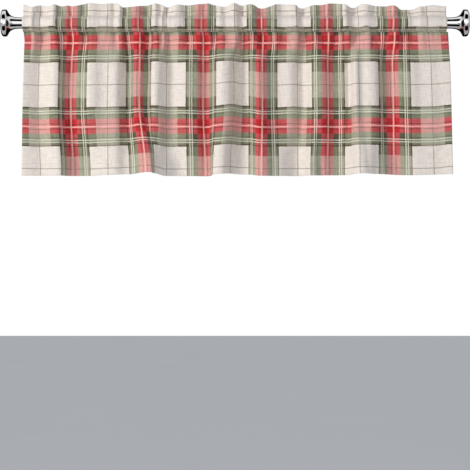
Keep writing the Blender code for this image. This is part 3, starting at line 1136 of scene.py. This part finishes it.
@dataclass(frozen=True)
class SewingThread:
    """Spun polyester sewing thread: soft and matt, with its two plies twisted round each other."""

    colour: str = "D9D0C2"
    shadow: str = "A79E90"
    twist: float = 0.0008

    def material(self) -> bpy.types.Material:
        """Makes the material, with the shadow that lies between the plies."""
        made, tree, shader = new_material("spun_polyester_thread")
        place = add_node(tree, "ShaderNodeTexCoord").outputs["Object"]
        bands = {"Vector": place, "Scale": math.tau / self.twist / 20.0, "Distortion": 1.0}
        plies = add_node(tree, "ShaderNodeTexWave", bands, bands_direction="DIAGONAL")
        tones = {0: plies.outputs["Fac"], 6: linear(self.shadow), 7: linear(self.colour)}
        tone = add_node(tree, "ShaderNodeMix", tones, data_type="RGBA")
        tree.links.new(tone.outputs[2], shader.inputs["Base Color"])
        shader.inputs["Roughness"].default_value = 0.8
        shader.inputs["Sheen Weight"].default_value = 0.2
        return made


@dataclass(frozen=True)
class Chrome:
    """Bright chrome plate on turned and drawn steel: cold white metal with hard reflections."""

    colour: str = "D9DADC"
    roughness: float = 0.07

    def material(self) -> bpy.types.Material:
        """Makes the material, with the faint drag marks that polishing leaves."""
        made, tree, shader = new_material("bright_chrome_plate")
        place = add_node(tree, "ShaderNodeTexCoord").outputs["Object"]
        drag = {"Vector": place, "Scale": (12.0, 900.0, 900.0)}
        run = add_node(tree, "ShaderNodeMapping", drag)
        marks = add_node(tree, "ShaderNodeTexNoise", {"Vector": run, "Scale": 1.0, "Detail": 2.0})
        span = {"To Min": self.roughness * 0.6, "To Max": self.roughness * 1.5}
        rough = add_node(tree, "ShaderNodeMapRange", {"Value": marks, **span})
        tree.links.new(rough.outputs[0], shader.inputs["Roughness"])
        shader.inputs["Base Color"].default_value = linear(self.colour)
        shader.inputs["Metallic"].default_value = 1.0
        return made


@dataclass(frozen=True)
class Matt:
    """A matt surface of the stage: pale paint, or black velvet that gives no light back."""

    name: str
    tones: tuple[str, str]
    cloud_scale: float
    roughness: float
    specular: float

    def material(self) -> bpy.types.Material:
        """Makes the material, with clouds of two close tones, as a brush or a nap leaves."""
        made, tree, shader = new_material(self.name)
        place = add_node(tree, "ShaderNodeTexCoord").outputs["Object"]
        clouds = add_node(tree, "ShaderNodeTexNoise", {"Vector": place, "Scale": self.cloud_scale})
        tones = {0: clouds, 6: linear(self.tones[0]), 7: linear(self.tones[1])}
        tone = add_node(tree, "ShaderNodeMix", tones, data_type="RGBA")
        tree.links.new(tone.outputs[2], shader.inputs["Base Color"])
        shader.inputs["Roughness"].default_value = self.roughness
        shader.inputs["Specular IOR Level"].default_value = self.specular
        return made


# Rolled emulsion paint: a soft pale floor with no highlight on it.
PALE_PAINT = Matt("matt_pale_paint", ("EFEFEE", "F3F3F2"), 0.8, 0.9, 0.5)
# Cotton velvet, whose nap swallows the light: what the chrome mirrors of it is black.
BLACK_VELVET = Matt("black_velvet", ("050505", "0A0A0A"), 60.0, 1.0, 0.0)


# ---------------------------------------------------------------- rod and finials


class Turn(NamedTuple):
    """A point of the finial's outline: distance in from its outer face, and radius, in mm."""

    inward: float
    radius: float


FINIAL_OUTLINE = [
    Turn(0.8, 28.5), Turn(2.4, 32.0), Turn(4.8, 33.7), Turn(8.4, 34.0),
    Turn(12.4, 33.8), Turn(14.4, 32.4), Turn(16.6, 28.2), Turn(19.4, 23.6), Turn(22.8, 20.0),
    Turn(27.0, 17.4), Turn(32.0, 15.6), Turn(38.0, 14.5), Turn(45.0, 14.0),
]


@dataclass
class Rod:
    """The curtain rod: a straight drawn tube, with a turned finial in each end."""

    diameter: float = 0.028
    wall: float = 0.001
    length: float = 1.050
    overall: float = 1.176
    gap: float = 0.0003
    spigot: float = 0.030
    chamfer: float = 0.0015
    face_radius: float = 0.024
    sides: int = 96

    def faces_where(
        self, mesh: bpy.types.Mesh, test: Callable[[bpy.types.MeshPolygon], bool]
    ) -> None:
        """Selects only the faces that pass a test, and goes back to edit mode.

        Args:
            mesh: The mesh of the active piece, which is in edit mode.
            test: What a face has to pass.
        """
        bpy.ops.mesh.select_all(action="DESELECT")
        bpy.ops.mesh.select_mode(type="FACE")
        bpy.ops.object.mode_set(mode="OBJECT")
        for face in mesh.polygons:
            face.select = test(face)
        bpy.ops.object.mode_set(mode="EDIT")

    def tube(self, finish: bpy.types.Material) -> bpy.types.Object:
        """Makes the tube: a cylinder whose ends are inset, opened and bridged inside.

        Args:
            finish: Its material.

        Returns:
            The piece.
        """
        deselect_all()
        bpy.ops.mesh.primitive_cylinder_add(
            vertices=self.sides,
            radius=self.diameter / 2.0,
            depth=self.length,
            rotation=(0.0, math.pi / 2.0, 0.0),
        )
        piece = bpy.context.object
        bpy.ops.object.mode_set(mode="EDIT")
        self.faces_where(piece.data, lambda face: len(face.vertices) > 4)
        bpy.ops.mesh.inset(thickness=self.wall, use_individual=True)
        bpy.ops.mesh.delete(type="FACE")
        bpy.ops.mesh.select_all(action="DESELECT")
        bpy.ops.mesh.select_mode(type="EDGE")
        bpy.ops.mesh.select_non_manifold()
        bpy.ops.mesh.bridge_edge_loops()
        bpy.ops.mesh.select_all(action="SELECT")
        bpy.ops.mesh.normals_make_consistent(inside=False)
        bpy.ops.object.mode_set(mode="OBJECT")
        bpy.ops.object.shade_smooth_by_angle(angle=math.radians(40))
        piece.data.materials.append(finish)
        return settle(piece, "rod_tube")

    def finial(self, name: str, side: int, finish: bpy.types.Material) -> bpy.types.Object:
        """Makes a finial as on a lathe: its outer face is drawn in, ring after ring.

        Args:
            name: The piece's name.
            side: -1 at the left end, 1 at the right.
            finish: Its material.

        Returns:
            The piece.
        """
        shoulder = (self.overall - self.length) / 2.0 - self.gap
        spigot = self.diameter / 2.0 - self.wall - self.gap
        end = shoulder + self.spigot
        rings = [(turn.inward * MM, turn.radius * MM) for turn in FINIAL_OUTLINE]
        rings += [
            (shoulder, self.diameter / 2.0),
            (shoulder, spigot),
            (end - self.chamfer, spigot),
            (end, spigot - self.chamfer),
        ]
        deselect_all()
        face_x = side * self.overall / 2.0
        bpy.ops.mesh.primitive_circle_add(
            vertices=self.sides,
            radius=self.face_radius,
            fill_type="NGON",
            location=(face_x, 0.0, 0.0),
            rotation=(0.0, math.pi / 2.0, 0.0),
        )
        piece = bpy.context.object
        bpy.ops.object.transform_apply(location=True, rotation=True, scale=True)
        bpy.ops.object.mode_set(mode="EDIT")
        bpy.ops.mesh.select_all(action="SELECT")
        at, radius = 0.0, self.face_radius
        for inward, wider in rings:
            centre = (face_x - side * inward, 0.0, 0.0)
            bpy.ops.mesh.extrude_region_move(
                TRANSFORM_OT_translate={"value": (-side * (inward - at), 0.0, 0.0)}
            )
            scale = wider / radius
            bpy.ops.transform.resize(value=(1.0, scale, scale), center_override=centre)
            at, radius = inward, wider
        bpy.ops.mesh.select_all(action="SELECT")
        bpy.ops.mesh.normals_make_consistent(inside=False)
        bpy.ops.object.mode_set(mode="OBJECT")
        bpy.ops.object.shade_smooth_by_angle(angle=math.radians(50))
        piece.data.materials.append(finish)
        return settle(piece, name)


# ---------------------------------------------------------------- studio


@dataclass
class Studio:
    """The plain floor, the soft lights and the camera."""

    floor_level: float = -2.6
    camera_height: float = -0.5335
    camera_distance: float = 4.2
    lens: float = 127.8
    sensor: float = 36.0
    aim_level: float = -0.17
    room_strength: float = 0.46

    def floor(self) -> None:
        """Lays the pale floor."""
        deselect_all()
        bpy.ops.mesh.primitive_plane_add(size=60.0, location=(0.0, 0.0, self.floor_level))
        ground = bpy.context.object
        ground.name = "studio_floor"
        ground.data.materials.append(PALE_PAINT.material())
        ground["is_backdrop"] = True

    def light(
        self,
        name: str,
        place: tuple[float, float, float],
        size: tuple[float, float],
        power: float,
    ) -> bpy.types.Object:
        """Adds a soft box that faces the middle of the cloth.

        Args:
            name: The lamp's name.
            place: Where it stands.
            size: Its width and height.
            power: Its power in watts.

        Returns:
            The lamp.
        """
        data = bpy.data.lights.new(name, "AREA")
        data.shape = "RECTANGLE"
        data.size, data.size_y = size
        data.energy = power
        data.color = linear("FFFAF4")[:3]
        lamp = bpy.data.objects.new(name, data)
        bpy.context.scene.collection.objects.link(lamp)
        lamp.location = place
        aim = Vector((0.0, 0.0, self.aim_level)) - Vector(place)
        lamp.rotation_euler = aim.to_track_quat("-Z", "Y").to_euler()
        lamp.visible_camera = False
        return lamp

    def flag(
        self, name: str, place: tuple[float, float, float], size: tuple[float, float]
    ) -> None:
        """Stands a black card where only the chrome's reflections see it.

        Args:
            name: The card's name.
            place: Its middle. It faces the middle of the rod.
            size: Its width and height.
        """
        deselect_all()
        bpy.ops.mesh.primitive_plane_add(size=1.0)
        card = bpy.context.object
        card.name = name
        card.scale = (size[0], size[1], 1.0)
        card.rotation_euler = Vector(place).to_track_quat("Z", "Y").to_euler()
        card.location = place
        card.data.materials.append(BLACK_VELVET.material())
        for kind in ("camera", "diffuse", "transmission", "volume_scatter", "shadow"):
            setattr(card, f"visible_{kind}", False)
        card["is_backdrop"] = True

    def lights(self) -> None:
        """Sets a large key from the front left and a pale room light all round."""
        self.light("key_soft_box", (-6.4, -4.9, 1.6), (2.6, 2.6), 345.0)
        self.light("front_soft_box", (0.0, -4.2, -0.1), (4.0, 2.4), 32.0)
        for name, place, size in (
            ("flag_above", (0.0, -0.95, 1.25), (4.0, 1.3)),
            ("flag_below", (0.0, -0.95, -1.25), (4.0, 1.3)),
            ("flag_behind", (0.0, 0.7, 0.0), (6.0, 2.4)),
        ):
            self.flag(name, place, size)
        world = bpy.data.worlds.new("studio")
        bpy.context.scene.world = world
        world.use_nodes = True
        tree = world.node_tree
        tree.nodes.clear()
        path = add_node(tree, "ShaderNodeLightPath").outputs
        rays = {0: path["Is Camera Ray"], 1: path["Is Glossy Ray"]}
        seen = add_node(tree, "ShaderNodeMath", rays, operation="MAXIMUM")
        span = {"Value": seen, "To Min": self.room_strength, "To Max": 1.0}
        strength = add_node(tree, "ShaderNodeMapRange", span)
        tints = {"Factor": seen, 6: linear("ECF1FC"), 7: linear("FFFFFF")}
        tint = add_node(tree, "ShaderNodeMix", tints, data_type="RGBA").outputs[2]
        glow = add_node(tree, "ShaderNodeBackground", {"Color": tint, "Strength": strength})
        add_node(tree, "ShaderNodeOutputWorld", {"Surface": glow})

    def camera(self) -> None:
        """Sets the camera level with the middle of the window."""
        data = bpy.data.cameras.new("camera")
        data.lens = self.lens
        data.sensor_width = self.sensor
        made = bpy.data.objects.new("camera", data)
        bpy.context.scene.collection.objects.link(made)
        made.location = (0.0, -self.camera_distance, self.camera_height)
        made.rotation_euler = (math.pi / 2.0, 0.0, 0.0)
        bpy.context.scene.camera = made


def main() -> None:
    """Builds the valance on its rod, then the studio round it."""
    logging.basicConfig(level=logging.INFO, format="%(message)s")
    cad_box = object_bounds()
    studio = Studio()
    studio.camera()

    print_finish = PrintedCotton()
    sides = [print_finish.material(side) for side in (Side.PRINTED, Side.REVERSE)]
    sewn = Cloth()
    cloth, length = sewn.build(sides)
    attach(cloth, BODY)
    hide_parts("valance_panel")
    LOG.info("%s: cut to %.3f m, %d faces", cloth.name, length, len(cloth.data.polygons))
    stitching = Stitching(sewn).build(SewingThread().material())
    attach(stitching, BODY)
    LOG.info("%s: %d faces", stitching.name, len(stitching.data.polygons))

    rod = Rod()
    chrome = Chrome().material()
    tube = rod.tube(chrome)
    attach(tube, BODY)
    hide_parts("curtain_rod")
    LOG.info("%s: %d faces", tube.name, len(tube.data.polygons))
    for side, node in ((-1, "finial_left"), (1, "finial_right")):
        finial = rod.finial(f"turned_{node}", side, chrome)
        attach(finial, BODY)
        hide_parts(node)
        LOG.info("%s: %d faces", finial.name, len(finial.data.polygons))

    studio.floor()
    studio.lights()
    bpy.context.scene.view_settings.view_transform = "Standard"
    boxes = {"cad": cad_box, "visual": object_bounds()}
    {name: [list(low), list(high)] for name, (low, high) in boxes.items()}


if __name__ == "__main__":
    main()
